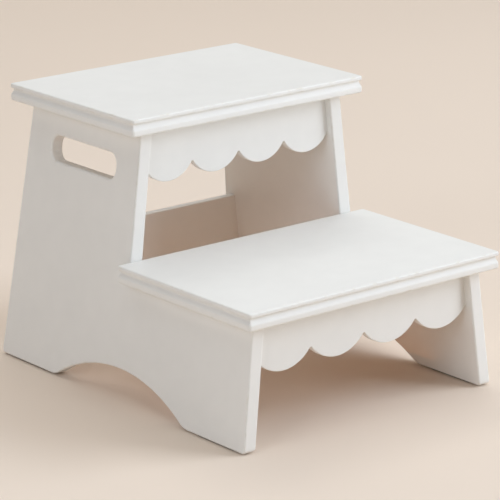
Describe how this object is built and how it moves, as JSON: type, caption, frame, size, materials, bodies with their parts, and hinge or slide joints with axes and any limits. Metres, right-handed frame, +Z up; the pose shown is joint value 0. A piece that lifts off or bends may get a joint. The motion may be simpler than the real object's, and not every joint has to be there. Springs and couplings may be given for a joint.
{
  "type": "step stool",
  "caption": "Two-step child's stool in off-white painted board: splayed side panels with hand slots and arched feet, moulded treads, scalloped aprons and a back rail.",
  "frame": {"origin": "on the floor, under the middle of the stool's outer box", "axes": "+Z up, +Y from the lower step towards the back, +X towards the right-hand side panel; the stool is the same on both sides of X = 0"},
  "size_m": [0.3252, 0.4128, 0.2925],
  "materials": {
    "painted_board": "satin off-white lacquer on MDF",
    "beech_dowel": "bare fluted beech",
    "zinc_plated_steel": "bright zinc plate",
    "die_cast_zinc": "as-cast zinc alloy",
    "cover_cap_plastic": "moulded, colour-matched to the paint",
    "foot_pad_rubber": "matte non-slip sheet"
  },
  "bodies": {
    "root": {"left_side_panel": "painted_board", "right_side_panel": "painted_board", "upper_tread": "painted_board", "lower_tread": "painted_board", "upper_apron": "painted_board", "lower_apron": "painted_board", "back_rail": "painted_board", "upper_tread_dowels": "beech_dowel", "lower_tread_dowels": "beech_dowel", "upper_apron_dowels": "beech_dowel", "lower_apron_dowels": "beech_dowel", "back_rail_dowels": "beech_dowel", "upper_tread_cam_bolts": "zinc_plated_steel", "upper_tread_cam_nuts": "die_cast_zinc", "upper_tread_cam_caps": "cover_cap_plastic", "lower_tread_cam_bolts": "zinc_plated_steel", "lower_tread_cam_nuts": "die_cast_zinc", "lower_tread_cam_caps": "cover_cap_plastic", "left_front_foot_pad": "foot_pad_rubber", "left_rear_foot_pad": "foot_pad_rubber", "right_front_foot_pad": "foot_pad_rubber", "right_rear_foot_pad": "foot_pad_rubber"}
  },
  "joints": []
}
